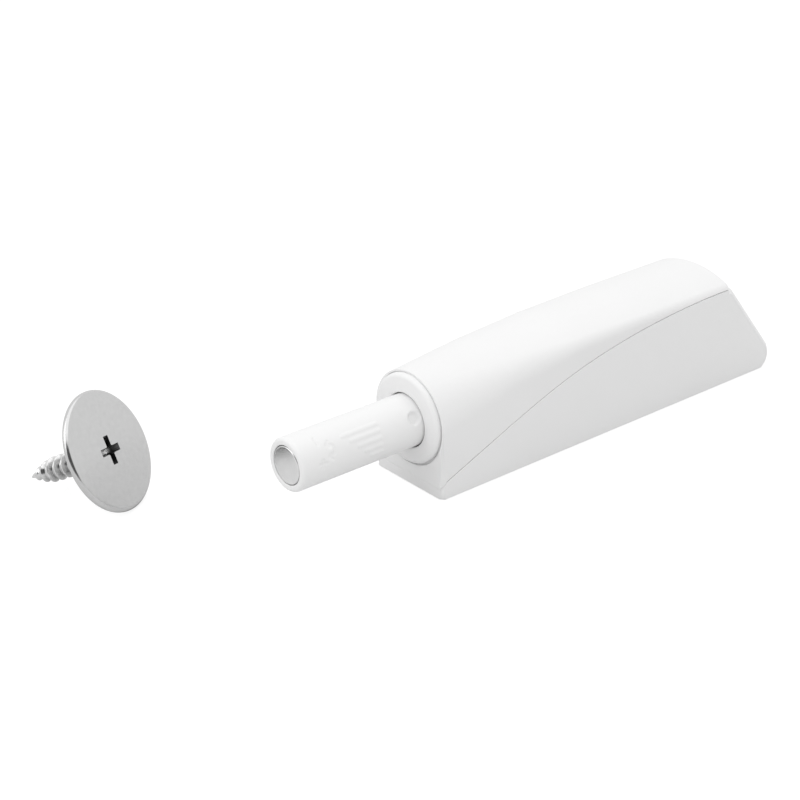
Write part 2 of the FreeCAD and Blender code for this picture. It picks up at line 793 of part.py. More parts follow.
def latch_slider():
    """Carrier with the threaded stem in front, the spring bore and the heart track."""
    body = turned("latch_slider", [
        ("- stem_reach", "0"),
        ("- stem_reach", "stem_radius"),
        ("slider_recess_end", "stem_radius"),
        ("slider_recess_end", "slider_recess"),
        ("slider_start", "slider_recess"),
        ("slider_start", "slider_radius"),
        ("slider_end", "slider_radius"),
        ("slider_end", "spring_bore"),
        ("spring_seat", "spring_bore"),
        ("spring_seat", "0"),
    ])
    flat = sketch_on(body, "XY_Plane", "track_flat_outline", "track_flat")
    wide = "slider_radius"
    polygon(flat, [
        ("track_flat_start", "- " + wide),
        ("slider_end", "- " + wide),
        ("slider_end", wide),
        ("track_flat_start", wide),
    ])
    cut_pad(body, flat, "track_flat_cut", "slider_radius", reverse=True)

    # Track around the heart island, whose notch holds the follower when the door is shut
    track = sketch_on(body, "XY_Plane", "track_outline", "track_flat")
    polygon(track, [
        ("track_start", "- track_half_width"),
        ("track_end", "- track_half_width"),
        ("track_end", "track_half_width"),
        ("track_start", "track_half_width"),
    ])
    edge = size("island_half_width")
    notch = size("notch_radius")
    front = size("island_front")
    island = [(front, notch), (front, edge), (size("island_taper"), edge), (size("island_end"), 0.0),
              (size("island_taper"), -edge), (front, -edge), (front, -notch), (size("notch_place"), -notch)]
    corners = [Vector(x, y, 0) for x, y in island]
    for first, second in zip(corners, corners[1:]):
        track.addGeometry(Part.LineSegment(first, second), False)
    upper = Vector(size("notch_place"), notch, 0)
    middle = Vector(size("notch_place") + notch, 0, 0)
    track.addGeometry(Part.Arc(corners[-1], middle, upper), False)
    track.addGeometry(Part.LineSegment(upper, corners[0]), False)
    cut_pad(body, track, "track_cut", "track_flat - track_floor")
    return body


def follower_pin():
    """Bent steel wire: one leg turns in the end cap, the other runs in the heart track."""
    body = new_body("follower_pin")
    body.Placement.Base.y = -size("wire_offset")
    body.setExpression("Placement.Base.y", "-Sizes.wire_offset")
    line = size("track_flat") + size("wire_lift") + size("wire_radius")
    bend = size("wire_bend")
    near, far = size("wire_tip"), size("wire_pivot")
    stations = [
        (near, size("track_floor") + size("wire_lift")),
        (near, line - bend),
        (near + bend, line),
        (far - bend, line),
        (far, line - bend),
        (far, size("wire_pivot_depth")),
    ]
    path = sketch_on(body, "XZ_Plane", "wire_route")
    for first, second in zip(stations, stations[1:]):
        path.addGeometry(Part.LineSegment(Vector(*first, 0), Vector(*second, 0)), False)
    section = sketch_on(body, "XY_Plane", "wire_section", "track_floor + wire_lift")
    circle(section, "wire_tip", "0", "wire_radius")
    pipe = body.newObject("PartDesign::AdditivePipe", "wire")
    pipe.Profile = section
    pipe.Spine = (path, ["Edge%d" % number for number in range(1, len(stations))])
    pipe.Transition = "Right corner"
    doc.recompute()
    return body


def end_cap():
    """Plug that closes the barrel, with the spring guide and the follower's pivot hole."""
    body = turned("end_cap", [
        ("guide_tip", "0"),
        ("guide_tip", "guide_radius"),
        ("cap_start", "guide_radius"),
        ("cap_start", "cap_radius"),
        ("barrel_end", "cap_radius"),
        ("barrel_end", "barrel_radius"),
        ("barrel_end + cap_flange", "barrel_radius"),
        ("barrel_end + cap_flange", "0"),
    ])
    slot = sketch_on(body, "XY_Plane", "wire_slot_outline", "track_flat")
    polygon(slot, [
        ("cap_start", "- cap_radius"),
        ("cap_start + cap_slot", "- cap_radius"),
        ("cap_start + cap_slot", "cap_radius"),
        ("cap_start", "cap_radius"),
    ])
    cut_pad(body, slot, "wire_slot", "cap_radius", reverse=True)
    hole = sketch_on(body, "XY_Plane", "pivot_outline", "track_flat")
    circle(hole, "wire_pivot", "- wire_offset", "wire_radius + wire_play")
    cut_pad(body, hole, "pivot_hole", "track_flat - wire_pivot_depth + wire_lift")
    return body


def main_spring():
    """Compression spring between the slider's bore and the end cap, in short straight runs."""
    wire = size("spring_wire")
    radius = size("spring_radius")
    start = size("spring_seat") + wire
    length = size("cap_start") - size("spring_seat") - 2 * wire
    steps = int(size("spring_steps"))
    count = steps * int(size("spring_turns"))
    route = []
    for number in range(count + 1):
        angle = 2 * math.pi * number / steps
        across, up = radius * math.cos(angle), radius * math.sin(angle)
        route.append(Vector(start + length * number / count, across, up))
    ring = Part.makeCircle(wire, route[0], route[1] - route[0])
    corners = ring.discretize(int(size("spring_sides")) + 1)
    return Part.makePolygon(route).makePipeShell([Part.makePolygon(corners)], True, False, 1)


def strike_plate():
    """Keeper for the door: a round steel plate in one piece with its wood screw."""
    back = "- strike_thickness"
    body = turned("strike_plate", [
        ("0", "0"),
        ("0", "strike_radius - strike_chamfer"),
        ("- strike_chamfer", "strike_radius"),
        (back + " + strike_chamfer", "strike_radius"),
        (back, "strike_radius - strike_chamfer"),
        (back, "shank_root_radius"),
        (back + " - shank_root_length", "shank_radius"),
        ("- strike_length + shank_point", "shank_radius"),
        ("- strike_length", "0"),
    ])
    along = size("recess_span") / 2
    across = size("recess_width") / 2
    for arm in range(2):
        sketch = sketch_on(body, "YZ_Plane", "recess_arm_%d" % (arm + 1))
        turn = FreeCAD.Rotation(Vector(0, 0, 1), size("recess_turn") + 90.0 * arm)
        corners = []
        for u, v in ((-along, -across), (along, -across), (along, across), (-along, across)):
            corners.append(turn.multVec(Vector(u, v, 0)))
        for first, second in zip(corners, corners[1:] + corners[:1]):
            sketch.addGeometry(Part.LineSegment(first, second), False)
        cut_pad(body, sketch, "recess_cut_%d" % (arm + 1), "recess_depth")

    # The plate leans back on its rim, beside the housing and on the same surface
    lean = math.radians(size("strike_lean"))
    height = (size("strike_thickness") - size("strike_chamfer")) * math.sin(lean)
    height += size("strike_radius") * math.cos(lean)
    aside = FreeCAD.Rotation(Vector(0, 0, 1), -size("strike_turn"))
    leaning = FreeCAD.Rotation(Vector(0, 1, 0), -size("strike_lean"))
    body.setExpression("Placement.Base.z", None)
    body.Placement = FreeCAD.Placement(Vector(0, 0, height), aside.multiply(leaning))
    body.setExpression("Placement.Base.x",
                       "-Sizes.strike_ahead - Sizes.first_screw - Sizes.screw_spacing / 2")
    body.setExpression("Placement.Base.y", "Sizes.strike_aside")
    return body


def feature(name, shape, on_axis):
    """A piece whose shape is worked out above, placed like the others."""
    piece = doc.addObject("Part::Feature", name)
    piece.Label = name
    piece.Shape = shape
    set_down(piece, on_axis)
    return piece


feature("base", base(), on_axis=False)
feature("cover", cover(), on_axis=False)
cartridge_barrel()
plunger_sleeve()
pole_cup()
magnet()
pole_plate()
latch_slider()
follower_pin()
end_cap()
feature("main_spring", main_spring(), on_axis=True)
strike_plate()
doc.recompute()

for item in doc.Objects:
    if "Invalid" in item.State or "Error" in item.State:
        raise ValueError(item.Label + " failed: " + str(item.State))
for piece in PIECES:
    if piece.Shape.isNull() or not piece.Shape.isValid():
        raise ValueError(piece.Label + " has no valid shape")

os.makedirs("parts", exist_ok=True)
for piece in PIECES:
    shape = piece.Shape
    shape.exportStep("parts/%s.step" % piece.Label)
    box = shape.optimalBoundingBox(False)
    print("%-18s solids %d  volume %8.2f  x %7.2f %7.2f  y %7.2f %7.2f  z %7.2f %7.2f" % (
        piece.Label, len(shape.Solids), shape.Volume, box.XMin, box.XMax, box.YMin, box.YMax,
        box.ZMin, box.ZMax))
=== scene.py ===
import json
import math

import bmesh
import bpy
from mathutils import Matrix, Vector

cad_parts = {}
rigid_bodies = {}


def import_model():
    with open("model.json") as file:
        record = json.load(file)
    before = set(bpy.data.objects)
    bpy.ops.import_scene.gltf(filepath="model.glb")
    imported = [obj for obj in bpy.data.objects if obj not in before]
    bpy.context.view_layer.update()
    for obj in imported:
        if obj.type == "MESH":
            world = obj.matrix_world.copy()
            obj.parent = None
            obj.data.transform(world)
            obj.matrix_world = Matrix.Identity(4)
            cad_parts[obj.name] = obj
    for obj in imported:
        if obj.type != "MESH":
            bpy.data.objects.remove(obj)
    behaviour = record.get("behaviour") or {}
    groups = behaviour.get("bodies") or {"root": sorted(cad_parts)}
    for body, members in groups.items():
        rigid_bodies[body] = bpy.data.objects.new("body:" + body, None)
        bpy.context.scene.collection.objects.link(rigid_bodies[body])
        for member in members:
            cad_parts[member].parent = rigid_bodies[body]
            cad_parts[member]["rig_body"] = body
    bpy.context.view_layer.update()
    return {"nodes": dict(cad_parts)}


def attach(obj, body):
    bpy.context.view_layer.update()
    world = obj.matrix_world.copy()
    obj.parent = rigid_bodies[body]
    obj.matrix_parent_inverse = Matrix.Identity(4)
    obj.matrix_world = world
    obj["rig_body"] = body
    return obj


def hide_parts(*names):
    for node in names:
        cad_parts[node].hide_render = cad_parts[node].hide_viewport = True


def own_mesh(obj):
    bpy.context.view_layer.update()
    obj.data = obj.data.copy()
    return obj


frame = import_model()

nodes = frame["nodes"]
mm = 0.001
tiny = 1e-6  # in millimetres, a length that counts as nothing

# Camera, solved from the housing's edges in the 800 x 800 photograph
picture_width = 800
focal_pixels = 2021.4
sensor_width = 36.0
view_azimuth = -0.71181
view_elevation = 0.46129
view_roll = 0.00872
camera_place = Vector((-198.85, -191.39, 139.32)) * mm


def aim_camera():
    """Places the camera where the photograph was taken from."""
    back = Vector((
        math.sin(view_azimuth) * math.cos(view_elevation),
        -math.cos(view_azimuth) * math.cos(view_elevation),
        math.sin(view_elevation),
    ))
    level = Vector((0, 0, 1)).cross(back).normalized()
    upright = back.cross(level)
    right = math.cos(view_roll) * level + math.sin(view_roll) * upright
    up = -math.sin(view_roll) * level + math.cos(view_roll) * upright
    data = bpy.data.cameras.new("camera")
    data.sensor_width = sensor_width
    data.lens = focal_pixels / picture_width * sensor_width
    data.clip_start = 0.01
    data.clip_end = 20.0
    camera = bpy.data.objects.new("camera", data)
    bpy.context.scene.collection.objects.link(camera)
    turn = Matrix((right, up, back)).transposed().to_4x4()
    camera.matrix_world = Matrix.Translation(camera_place) @ turn
    bpy.context.scene.camera = camera


# Small helpers for node trees


def add(tree, kind, place, **settings):
    """Adds one node and sets its properties."""
    node = tree.nodes.new(kind)
    node.location = place
    for name, value in settings.items():
        setattr(node, name, value)
    return node


def preset(node, **values):
    """Sets a node's inputs by name, with _ for each space."""
    for label, value in values.items():
        node.inputs[label.replace("_", " ")].default_value = value


def arithmetic(tree, place, operation, constant=None):
    """A Math node, with its second input set where nothing is linked to it."""
    node = add(tree, "ShaderNodeMath", place, operation=operation)
    if constant is not None:
        node.inputs[1].default_value = constant
    return node


def feed(tree, *pairs):
    """Links pairs of sockets, each given as (from, to)."""
    for source, target in pairs:
        tree.links.new(source, target)


def new_group(name, inputs, outputs):
    """An empty shader node group with named float, colour or vector sockets."""
    group = bpy.data.node_groups.new(name, "ShaderNodeTree")
    kinds = {
        "value": "NodeSocketFloat",
        "color": "NodeSocketColor",
        "vector": "NodeSocketVector",
    }
    for label, kind, default in inputs:
        socket = group.interface.new_socket(label, in_out="INPUT", socket_type=kinds[kind])
        socket.default_value = default
    for label, kind in outputs:
        group.interface.new_socket(label, in_out="OUTPUT", socket_type=kinds[kind])
    entry = add(group, "NodeGroupInput", (-900, 0))
    leave = add(group, "NodeGroupOutput", (700, 0))
    return group, entry, leave


# Shared surface effects
noise_middle = 0.5
moulded_relief = 0.02 * mm
metal_relief = 0.01 * mm


def moulded_skin_group():
    """Colour drift, faint flow marks and the fine grain of a spark-eroded mould."""
    group, entry, leave = new_group(
        "moulded skin",
        [("Colour", "color", (0.8, 0.8, 0.8, 1)), ("Drift", "value", 0.02),
         ("Grain size", "value", 9000.0), ("Grain depth", "value", 0.1),
         ("Roughness", "value", 0.4), ("Roughness drift", "value", 0.06)],
        [("Colour", "color"), ("Roughness", "value"), ("Normal", "vector")],
    )
    coordinates = add(group, "ShaderNodeTexCoord", (-900, 300))
    broad = add(group, "ShaderNodeTexNoise", (-600, 300))
    preset(broad, Scale=90.0, Detail=3.0)
    fine = add(group, "ShaderNodeTexNoise", (-600, 0))
    preset(fine, Detail=2.0)
    drift = arithmetic(group, (-350, 420), "SUBTRACT", noise_middle)
    amount = arithmetic(group, (-180, 420), "MULTIPLY")
    bright = arithmetic(group, (0, 420), "ADD", 1.0)
    tint = add(group, "ShaderNodeVectorMath", (200, 300), operation="SCALE")
    rough_part = arithmetic(group, (-180, 150), "MULTIPLY")
    rough = arithmetic(group, (0, 150), "ADD")
    bump = add(group, "ShaderNodeBump", (200, -100))
    preset(bump, Distance=moulded_relief)
    feed(
        group,
        (coordinates.outputs["Object"], broad.inputs["Vector"]),
        (coordinates.outputs["Object"], fine.inputs["Vector"]),
        (entry.outputs["Grain size"], fine.inputs["Scale"]),
        (broad.outputs["Fac"], drift.inputs[0]),
        (drift.outputs[0], amount.inputs[0]),
        (entry.outputs["Drift"], amount.inputs[1]),
        (amount.outputs[0], bright.inputs[0]),
        (entry.outputs["Colour"], tint.inputs[0]),
        (bright.outputs[0], tint.inputs["Scale"]),
        (drift.outputs[0], rough_part.inputs[0]),
        (entry.outputs["Roughness drift"], rough_part.inputs[1]),
        (rough_part.outputs[0], rough.inputs[0]),
        (entry.outputs["Roughness"], rough.inputs[1]),
        (fine.outputs["Fac"], bump.inputs["Height"]),
        (entry.outputs["Grain depth"], bump.inputs["Strength"]),
        (tint.outputs[0], leave.inputs["Colour"]),
        (rough.outputs[0], leave.inputs["Roughness"]),
        (bump.outputs["Normal"], leave.inputs["Normal"]),
    )
    return group


def metal_skin_group():
    """Mottling and grain of plated or drawn steel, and painted shade: an occlusion mask darkens
    the colour towards the Crevice colour in hollows and crevices.
    """
    group, entry, leave = new_group(
        "metal skin",
        [("Bright", "color", (0.7, 0.7, 0.7, 1)), ("Dull", "color", (0.5, 0.5, 0.5, 1)),
         ("Mottle size", "value", 400.0), ("Mottle depth", "value", 0.1),
         ("Grain size", "value", 6000.0),
         ("Roughness", "value", 0.3), ("Roughness drift", "value", 0.1),
         ("Crevice", "color", (0.2, 0.2, 0.2, 1)), ("Crevice reach", "value", 0.0008)],
        [("Colour", "color"), ("Roughness", "value"), ("Normal", "vector")],
    )
    coordinates = add(group, "ShaderNodeTexCoord", (-900, 300))
    mottle = add(group, "ShaderNodeTexNoise", (-600, 300))
    preset(mottle, Detail=4.0, Roughness=0.6)
    grain = add(group, "ShaderNodeTexNoise", (-600, 0))
    preset(grain, Detail=2.0)
    blend = add(group, "ShaderNodeMix", (-200, 300), data_type="RGBA")
    # Painted shade: ambient occlusion blends the colour towards the Crevice colour where the
    # surface is hemmed in.
    openness = add(group, "ShaderNodeAmbientOcclusion", (-600, 600), samples=8)
    open_share = add(group, "ShaderNodeMapRange", (-350, 600))
    preset(open_share, From_Min=0.35, From_Max=0.85)
    crevice_shaded_colour = add(group, "ShaderNodeMix", (200, 400), data_type="RGBA")
    drift = arithmetic(group, (-350, 100), "SUBTRACT", noise_middle)
    rough_part = arithmetic(group, (-180, 100), "MULTIPLY")
    rough = arithmetic(group, (0, 100), "ADD")
    height = arithmetic(group, (-180, -150), "ADD")
    bump = add(group, "ShaderNodeBump", (200, -150))
    preset(bump, Distance=metal_relief)
    feed(
        group,
        (coordinates.outputs["Object"], mottle.inputs["Vector"]),
        (coordinates.outputs["Object"], grain.inputs["Vector"]),
        (entry.outputs["Mottle size"], mottle.inputs["Scale"]),
        (entry.outputs["Grain size"], grain.inputs["Scale"]),
        (mottle.outputs["Fac"], blend.inputs["Factor"]),
        (entry.outputs["Bright"], blend.inputs["A"]),
        (entry.outputs["Dull"], blend.inputs["B"]),
        (mottle.outputs["Fac"], drift.inputs[0]),
        (drift.outputs[0], rough_part.inputs[0]),
        (entry.outputs["Roughness drift"], rough_part.inputs[1]),
        (rough_part.outputs[0], rough.inputs[0]),
        (entry.outputs["Roughness"], rough.inputs[1]),
        (mottle.outputs["Fac"], height.inputs[0]),
        (grain.outputs["Fac"], height.inputs[1]),
        (height.outputs[0], bump.inputs["Height"]),
        (entry.outputs["Mottle depth"], bump.inputs["Strength"]),
        (entry.outputs["Crevice reach"], openness.inputs["Distance"]),
        (openness.outputs["AO"], open_share.inputs["Value"]),
        (open_share.outputs["Result"], crevice_shaded_colour.inputs["Factor"]),
        (entry.outputs["Crevice"], crevice_shaded_colour.inputs["A"]),
        (blend.outputs["Result"], crevice_shaded_colour.inputs["B"]),
        (crevice_shaded_colour.outputs["Result"], leave.inputs["Colour"]),
        (rough.outputs[0], leave.inputs["Roughness"]),
        (bump.outputs["Normal"], leave.inputs["Normal"]),
    )
    return group


moulded_skin = moulded_skin_group()
metal_skin = metal_skin_group()


def grey(level):
    """A neutral colour."""
    return level, level, level, 1


def skinned_material(name, group, metallic, **values):
    """A material whose colour, roughness and normal come from one shared effect."""
    material = bpy.data.materials.new(name)
    material.use_nodes = True
    tree = material.node_tree
    shader = tree.nodes["Principled BSDF"]
    shader.inputs["Metallic"].default_value = metallic
    skin = add(tree, "ShaderNodeGroup", (-400, 200), node_tree=group)
    preset(skin, **values)
    feed(
        tree,
        (skin.outputs["Colour"], shader.inputs["Base Color"]),
        (skin.outputs["Roughness"], shader.inputs["Roughness"]),
        (skin.outputs["Normal"], shader.inputs["Normal"]),
    )
    return material, shader


def moulded_plastic(name, colour, roughness, grain_depth):
    """Moulded plastic with a soft sheen."""
    material, shader = skinned_material(
        name, moulded_skin, 0.0, Colour=colour, Drift=0.03, Grain_size=7000.0,
        Grain_depth=grain_depth, Roughness=roughness, Roughness_drift=0.1,
    )
    shader.inputs["Specular IOR Level"].default_value = 0.35
    return material


def bare_metal(name, **values):
    """Plated, ground or drawn steel."""
    return skinned_material(name, metal_skin, 1.0, **values)[0]


housing_white = moulded_plastic(
    "housing white plastic", grey(0.86), roughness=0.45, grain_depth=0.25)
collar_white = moulded_plastic(
    "collar white plastic", grey(0.87), roughness=0.38, grain_depth=0.12)
sleeve_white = moulded_plastic(
    "sleeve white plastic", grey(0.87), roughness=0.36, grain_depth=0.12)
slider_natural = moulded_plastic(
    "slider natural plastic", (0.78, 0.76, 0.70, 1), roughness=0.4, grain_depth=0.1)

# Its Crevice colour is painted shade, laid into hollows by the metal skin's occlusion mask.
strike_nickel = bare_metal(
    "strike plate nickel", Bright=grey(0.71), Dull=grey(0.62), Mottle_size=1400.0,
    Mottle_depth=0.35, Grain_size=9000.0, Roughness=0.2, Roughness_drift=0.1,
    Crevice=grey(0.02), Crevice_reach=0.0012,
)
# A lighter copy of the plate's nickel for the screw, a painted highlight, with painted shade in
# the thread's valleys from its Crevice colour.
thread_nickel_painted_light = bare_metal(
    "screw thread nickel with painted light", Bright=grey(0.95), Dull=grey(0.6), Mottle_size=2600.0,
    Mottle_depth=0.9, Grain_size=9000.0, Roughness=0.2, Roughness_drift=0.1,
    Crevice=grey(0.01), Crevice_reach=0.001,
)
# A dark copy of the plate's nickel for the recess walls: painted shade.
recess_painted_shade = bare_metal(
    "recess nickel painted shade", Bright=grey(0.10), Dull=grey(0.03), Mottle_size=1800.0,
    Mottle_depth=0.3, Grain_size=9000.0, Roughness=0.4, Roughness_drift=0.1,
)
cup_bright = bare_metal(
    "magnet cap nickel", Bright=grey(0.93), Dull=grey(0.82), Mottle_size=900.0,
    Mottle_depth=0.2, Grain_size=9000.0, Roughness=0.18, Roughness_drift=0.1,
)
plate_grey = bare_metal(
    "pole plate ground steel", Bright=(0.46, 0.45, 0.44, 1), Dull=(0.36, 0.35, 0.34, 1),
    Mottle_size=1200.0, Mottle_depth=0.15, Grain_size=12000.0, Roughness=0.42,
    Roughness_drift=0.1,
)
magnet_grey = bare_metal(
    "magnet plating", Bright=(0.62, 0.61, 0.60, 1), Dull=(0.50, 0.49, 0.48, 1),
    Mottle_size=1200.0, Mottle_depth=0.1, Grain_size=12000.0, Roughness=0.3,
    Roughness_drift=0.1,
)
wire_steel = bare_metal(
    "drawn spring steel", Bright=(0.52, 0.52, 0.53, 1), Dull=(0.34, 0.34, 0.35, 1),
    Mottle_size=1500.0, Mottle_depth=0.15, Grain_size=9000.0, Roughness=0.3,
    Roughness_drift=0.15,
)


# Mesh helpers. Profiles and forms are in millimetres, finished meshes in metres.


def new_piece(name, mesh, node_name, material):
    """A finished mesh that stands for one carried-over node and rides on its body."""
    piece = bpy.data.objects.new(name, mesh)
    bpy.context.scene.collection.objects.link(piece)
    mesh.materials.clear()
    mesh.materials.append(material)
    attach(piece, nodes[node_name]["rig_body"])
    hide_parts(node_name)
    return piece


def soften_edges(mesh, crease):
    """Smooth shading, with a hard edge where two faces meet at more degrees than the crease."""
    mesh.shade_smooth()
    mesh.set_sharp_from_angle(angle=math.radians(crease))


def baked(mesh, *steps):
    """The mesh after some modifiers, each given as (kind, settings)."""
    carrier = bpy.data.objects.new("carrier", mesh)
    bpy.context.scene.collection.objects.link(carrier)
    for kind, settings in steps:
        modifier = carrier.modifiers.new(kind.lower(), kind)
        for label, value in settings.items():
            setattr(modifier, label, value)
    graph = bpy.context.evaluated_depsgraph_get()
    result = bpy.data.meshes.new_from_object(carrier.evaluated_get(graph))
    bpy.data.objects.remove(carrier)
    return result


def mesh_from(form, name, place=Matrix.Identity(4)):
    """Turns a bmesh into a mesh, with its faces outwards, and moves it to its place."""
    bmesh.ops.recalc_face_normals(form, faces=form.faces)
    form.transform(place)
    mesh = bpy.data.meshes.new(name)
    form.to_mesh(mesh)
    form.free()
    return mesh


def quarter(centre_x, centre_r, radius, start, end, steps=8):
    """Points of an arc in the (x, radius) half plane, with angles from +x towards +radius."""
    points = []
    for step in range(steps + 1):
        angle = math.radians(start + (end - start) * step / steps)
        points.append((centre_x + radius * math.cos(angle), centre_r + radius * math.sin(angle)))
    return points


def about_axis(x, radius, angle):
    """A point at a radius from the x axis, with its angle from +y towards +z."""
    return x, radius * math.cos(angle), radius * math.sin(angle)


def lathe(form, profile, around):
    """Turns a profile of (x, radius) points about the x axis. An end on it closes to a point."""
    rings = []
    for x, radius in profile:
        if radius < tiny:
            rings.append([form.verts.new((x, 0, 0))])
            continue
        ring = []
        for step in range(around):
            angle = 2 * math.pi * step / around
            ring.append(form.verts.new(about_axis(x, radius, angle)))
        rings.append(ring)
    for near, far in zip(rings, rings[1:]):
        for step in range(around):
            other = (step + 1) % around
            if len(near) == 1:
                form.faces.new((near[0], far[other], far[step]))
            elif len(far) == 1:
                form.faces.new((near[step], near[other], far[0]))
            else:
                form.faces.new((near[step], near[other], far[other], far[step]))


# Housing: the two halves as they come, with their hard edges rounded. The front corners taper
# as the walls turn into the arch, so a rounding would fold there, and they are only shaded round.
weld_gap = 0.002
flat_angle = 0.5
hard_angle = 28
edge_radius = 0.12
edge_segments = 3
housing_crease = 50
corner_start = -31.2
corner_side = 6.3
arch_foot = 10.0


def rounded_half(node_name):
    """One half of the housing with its hard edges rounded."""
    plain = baked(
        nodes[node_name].data.copy(),
        ("WELD", {"merge_threshold": weld_gap * mm}),
        ("DECIMATE", {"decimate_type": "DISSOLVE", "angle_limit": math.radians(flat_angle)}),
    )
    form = bmesh.new()
    form.from_mesh(plain)
    weight = form.edges.layers.float.new("bevel_weight_edge")
    for edge in form.edges:
        middle = (edge.verts[0].co + edge.verts[1].co) / 2 / mm
        in_front = middle.x < corner_start and abs(middle.y) > corner_side
        tapered = in_front and middle.z < arch_foot
        hard = edge.calc_face_angle(0.0) > math.radians(hard_angle)
        edge[weight] = 1.0 if hard and not tapered else 0.0
    form.to_mesh(plain)
    form.free()
    rounded = baked(plain, ("BEVEL", {
        "width": edge_radius * mm, "segments": edge_segments,
        "limit_method": "WEIGHT", "harden_normals": True,
    }))
    soften_edges(rounded, housing_crease)
    return baked(rounded, ("WEIGHTED_NORMAL", {"keep_sharp": True, "weight": 100}))


# Strike plate: full round rim, cross recess and a coarse wood-screw thread. In its own frame
# the face lies at x = 0 and the screw points towards -x.
plate_radius = 8.8
plate_thickness = 1.1
plate_sides = 128
plate_crease = 32
rim_radius = 0.5
rim_margin = 0.3
strike_lean = 28.3
strike_turn = 62.2
strike_chamfer = 0.35
strike_place = (-67.4, 22.3)

# Its screw, from the flared root to the point. Each taper is a length from the point and how
# full the swelling over that length is.
root_radius = 2.1
root_end = -1.9
neck_radius = 1.45
screw_sunk = 0.3
screw_end = -14.98
screw_sides = 40
point_radius = 0.004
rows_per_turn = 9
row_gap = 0.002
thread_pitch = 1.4
thread_core = 1.15
thread_crest = 1.84
core_taper = (4.0, 1.6)
crest_taper = (5.0, 1.8)
ridge_share = 0.9
ridge_start = 0.3
ridge_run_in = 0.9
shank_swell = 0.3

# Its recess. An arm's sizes are half its length and half its width, above the face and at the
# floor. The cone in the middle has its radius at the same two places.
recess_turn = -10.0
recess_depth = 1.1
arm_top = 0.4
arm_mouth = (2.4, 0.6)
arm_floor = (1.25, 0.32)
cone_top = 0.3
cone_mouth = 0.95
cone_floor = 0.45
cone_point = 0.3
cone_sides = 24

# Where the painted shade of its recess and the lighter, painted-highlight colour of its thread
# begin
plain_finish, recess_shade_zone, thread_painted_light_zone = range(3)
recess_below = 0.06
recess_above = 1.5
recess_reach = 2.5
recess_wall = 0.6
thread_below = 0.02


def strike_frame():
    """The plate leans on its rim, and its own +x is the way its face looks."""
    lean = math.radians(strike_lean)
    height = (plate_thickness - strike_chamfer) * math.sin(lean) + plate_radius * math.cos(lean)
    place = Matrix.Translation(Vector((*strike_place, height)) * mm)
    turn = Matrix.Rotation(math.radians(-strike_turn), 4, "Z") @ Matrix.Rotation(-lean, 4, "Y")
    return place @ turn @ Matrix.Scale(mm, 4)


def swelling(from_point, taper):
    """Share of the full radius at some distance from the screw's point."""
    length, fullness = taper
    return 1 - (1 - min(from_point / length, 1.0)) ** fullness


def thread_radius(x, phase):
    """Screw radius at one place: a core with a rounded ridge, both running out to the point."""
    from_point = x - screw_end
    off_crest = abs((phase % 1.0) - 0.5) * 2
    ridge = 0.5 + 0.5 * math.cos(math.pi * min(1.0, off_crest / ridge_share))
    run_in = min(max((root_end + ridge_start - x) / ridge_run_in, 0.0), 1.0)
    core = thread_core * swelling(from_point, core_taper) + (1 - run_in) * shank_swell
    crest = thread_crest * swelling(from_point, crest_taper)
    radius = core + (crest - core) * ridge * run_in
    if x > root_end:
        flare = min((x - root_end) / (-plate_thickness - root_end), 1.0) ** 2
        radius = max(radius, neck_radius + (root_radius - neck_radius) * flare)
    return radius


def screw_form():
    """The screw behind the plate, on a grid whose rows follow the helix."""
    form = bmesh.new()
    start = screw_sunk - plate_thickness
    turns = (start - screw_end) / thread_pitch
    rows = int(turns * rows_per_turn) + rows_per_turn + 1
    points = {}

    def vertex(row, step):
        if step == screw_sides:
            row, step = row + rows_per_turn, 0
        if (row, step) not in points:
            phase = row / rows_per_turn
            x = start - thread_pitch * (phase - 1 + step / screw_sides)
            x = min(start, max(screw_end, x))
            angle = 2 * math.pi * step / screw_sides
            radius = max(thread_radius(x, phase), point_radius)
            points[row, step] = form.verts.new(about_axis(x, radius, angle))
        return points[row, step]

    for row in range(rows):
        for step in range(screw_sides):
            form.faces.new((vertex(row, step), vertex(row, step + 1),
                            vertex(row + 1, step + 1), vertex(row + 1, step)))
    bmesh.ops.remove_doubles(form, verts=form.verts, dist=row_gap)
    bmesh.ops.holes_fill(form, edges=[edge for edge in form.edges if edge.is_boundary])
    return form


def recess_arm(turn):
    """One arm of the cross recess: a slot that narrows towards its floor."""
    form = bmesh.new()
    angle = math.radians(turn)
    layers = []
    for x, (along, across) in ((arm_top, arm_mouth), (-recess_depth, arm_floor)):
        layer = []
        for u, v in ((-along, -across), (along, -across), (along, across), (-along, across)):
            y = u * math.cos(angle) - v * math.sin(angle)
            z = u * math.sin(angle) + v * math.cos(angle)
            layer.append(form.verts.new((x, y, z)))
        layers.append(layer)
    top, floor = layers
    form.faces.new(top)
    form.faces.new(floor)
    for index in range(4):
        other = (index + 1) % 4
        form.faces.new((top[index], top[other], floor[other], floor[index]))
    return form


def recess_cone():
    """The pointed middle of the cross recess."""
    form = bmesh.new()
    profile = [(cone_top, 0.0), (cone_top, cone_mouth),
               (-recess_depth, cone_floor), (-recess_depth - cone_point, 0.0)]
    lathe(form, profile, cone_sides)
    return form


def combined(mesh, tool_form, operation):
    """A boolean between a mesh and a bmesh, both in the plate's own frame."""
    tool = bpy.data.objects.new("tool", mesh_from(tool_form, "tool"))
    bpy.context.scene.collection.objects.link(tool)
    result = baked(mesh, ("BOOLEAN", {"object": tool, "operation": operation, "solver": "EXACT"}))
    bpy.data.objects.remove(tool)
    return result


def strike_colour_zone(face):
    """Which colour a face of the strike plate gets: plain nickel, painted shade on the recess
    walls, or the thread's lighter painted-highlight nickel.
    """
    x = face.center.x
    off_axis = math.hypot(face.center.y, face.center.z)
    if x < -plate_thickness - thread_below and off_axis < root_radius:
        return thread_painted_light_zone
    in_recess = -recess_above < x < -recess_below and off_axis < recess_reach
    if in_recess and abs(face.normal.x) < recess_wall:
        return recess_shade_zone
    return plain_finish


